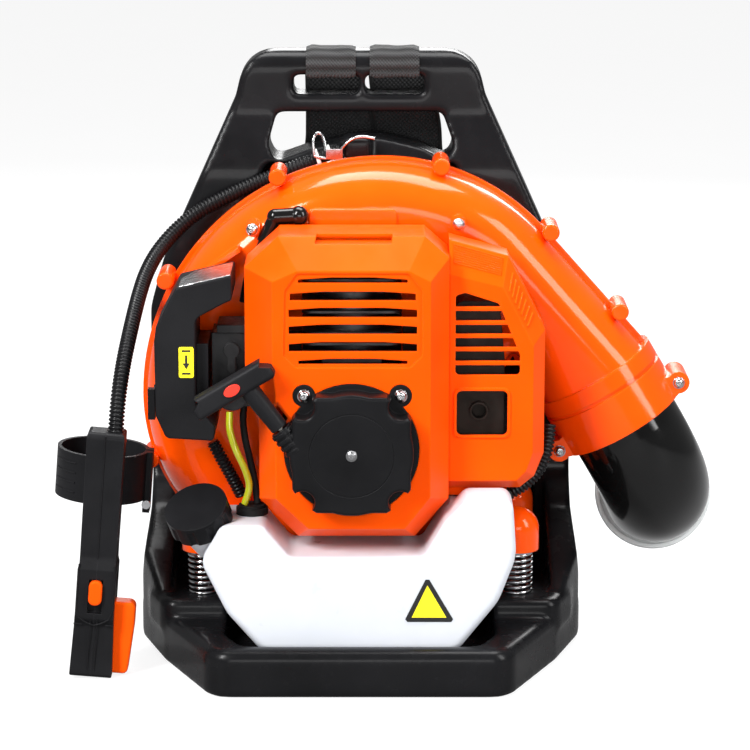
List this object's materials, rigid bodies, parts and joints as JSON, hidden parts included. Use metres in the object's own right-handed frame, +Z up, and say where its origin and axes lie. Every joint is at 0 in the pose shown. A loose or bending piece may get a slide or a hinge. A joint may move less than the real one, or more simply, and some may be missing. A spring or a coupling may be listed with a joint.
{
  "type": "backpack leaf blower",
  "caption": "Engine-driven backpack blower: fan case and engine on a sprung carrying frame, swivelling outlet elbow, recoil starter, and a throttle handle on a free conduit.",
  "frame": {"origin": "centre of the base's flat underside, on the floor", "axes": "+Z up; +Y towards the wearer's back (strap side), so the engine and starter face -Y; +X to the right seen from the engine side, the side of the outlet elbow"},
  "size_m": [0.5141, 0.318, 0.4557],
  "materials": {
    "black_frame": "satin blow-moulded",
    "pad_fabric": "padded mesh fabric",
    "webbing": "woven webbing",
    "spring_steel": "bright plated",
    "conduit": "corrugated",
    "tie_white": "satin",
    "black_plastic": "fine texture",
    "orange_plastic": "gloss",
    "orange_button": "satin",
    "red_plastic": "gloss",
    "black_gloss": "gloss",
    "grey_plastic": "satin",
    "cast_alloy": "as cast",
    "steel": "machined",
    "screw_steel": "bright",
    "dark_metal": "heat-dulled",
    "rubber": "satin",
    "foam": "open foam",
    "tank_white": "translucent, satin",
    "fuel_hose": "translucent yellow-green",
    "nylon_rope": "braided"
  },
  "bodies": {
    "frame": {"backpack_frame": "black_frame", "back_pad": "pad_fabric", "left_webbing_loop": "webbing", "right_webbing_loop": "webbing", "left_shoulder_strap": "pad_fabric", "right_shoulder_strap": "pad_fabric", "left_lower_webbing": "webbing", "right_lower_webbing": "webbing", "front_left_spring": "spring_steel", "front_right_spring": "spring_steel", "rear_left_spring": "spring_steel", "rear_right_spring": "spring_steel", "control_conduit": "conduit", "cable_ties": "tie_white", "wire_clip": "screw_steel", "handle_left_shell": "black_plastic", "handle_right_shell": "black_plastic", "tube_clamp_ring": "black_plastic", "clamp_screw": "screw_steel"},
    "trigger": {"throttle_trigger": "orange_button"},
    "stop_switch": {"stop_switch": "orange_button"},
    "powerhead": {"fan_case_front": "orange_plastic", "fan_case_rear": "orange_plastic", "intake_grille": "black_plastic", "case_screws": "screw_steel", "crankcase": "cast_alloy", "cylinder": "cast_alloy", "spark_plug": "steel", "spark_plug_boot": "black_gloss", "ignition_lead": "rubber", "ignition_coil": "steel", "muffler": "dark_metal", "intake_manifold": "rubber", "carburettor": "cast_alloy", "air_filter_base": "black_plastic", "air_filter_element": "foam", "air_filter_cover": "black_plastic", "fuel_tank": "tank_white", "tank_grommet": "rubber", "fuel_hose": "fuel_hose", "return_hose": "rubber", "left_conduit": "conduit", "right_conduit": "conduit", "engine_cover": "orange_plastic", "side_cover": "orange_plastic", "starter_housing": "black_plastic", "starter_screws": "screw_steel"},
    "rotor": {"crankshaft": "steel", "flywheel": "cast_alloy", "impeller": "black_plastic"},
    "piston": {"piston": "cast_alloy"},
    "starter_reel": {"starter_reel": "black_plastic"},
    "starter_handle": {"starter_handle": "black_plastic", "handle_insert": "red_plastic", "starter_rope": "nylon_rope"},
    "elbow": {"elbow": "black_gloss", "elbow_ring": "grey_plastic"},
    "fuel_cap": {"fuel_cap": "black_plastic"},
    "choke_lever": {"choke_lever": "black_plastic"},
    "throttle_lever": {"throttle_lever": "steel"}
  },
  "joints": [
    {"name": "isolator_float", "type": "slide", "parent": "frame", "child": "powerhead", "axis": [0, 0, 1], "range_m": [-0.005, 0.004], "stiffness_N_per_m": 60000, "springref_m": 0.0011, "deforming": ["front_left_spring", "front_right_spring", "rear_left_spring", "rear_right_spring"]},
    {"name": "crank_spin", "type": "hinge", "parent": "powerhead", "child": "rotor", "pos_m": [-0.006, 0, 0.18], "axis": [0, 1, 0], "continuous": true},
    {"name": "piston_stroke", "type": "slide", "parent": "powerhead", "child": "piston", "axis": [0, 0, 1], "range_m": [-0.015, 0.015]},
    {"name": "starter_pull", "type": "slide", "parent": "powerhead", "child": "starter_handle", "axis": [-0.61, 0, 0.7924], "range_m": [0, 0.5], "stiffness_N_per_m": 20, "springref_m": -0.5},
    {"name": "reel_turn", "type": "hinge", "parent": "powerhead", "child": "starter_reel", "pos_m": [-0.006, -0.134, 0.18], "axis": [0, 1, 0], "range_deg": [0, 960]},
    {"name": "elbow_swivel", "type": "hinge", "parent": "powerhead", "child": "elbow", "pos_m": [0.184, 0.01, 0.206], "axis": [0.5101, 0, -0.8601], "range_deg": [-10, 30]},
    {"name": "cap_turn", "type": "hinge", "parent": "powerhead", "child": "fuel_cap", "pos_m": [-0.12, -0.112, 0.128], "axis": [-0.2498, -0.4996, 0.8294], "range_deg": [0, 360]},
    {"name": "choke_swing", "type": "hinge", "parent": "powerhead", "child": "choke_lever", "pos_m": [-0.1535, -0.066, 0.21], "axis": [1, 0, 0], "range_deg": [-45, 0]},
    {"name": "throttle_open", "type": "hinge", "parent": "powerhead", "child": "throttle_lever", "pos_m": [-0.095, -0.099, 0.25], "axis": [0, 1, 0], "range_deg": [0, 60]},
    {"name": "trigger_squeeze", "type": "hinge", "parent": "frame", "child": "trigger", "pos_m": [-0.18288, -0.097, 0.00598], "axis": [0, -1, 0], "range_deg": [0, 12], "stiffness_Nm_per_rad": 1, "springref_deg": -17.19},
    {"name": "stop_slide", "type": "slide", "parent": "frame", "child": "stop_switch", "axis": [-0.0802, 0, -0.9968], "range_m": [0, 0.005]}
  ],
  "couplings": [
    {"joint": "reel_turn", "follows": "starter_pull", "rad_per_m": 33.333},
    {"joint": "throttle_open", "follows": "trigger_squeeze", "ratio": 4.5}
  ]
}
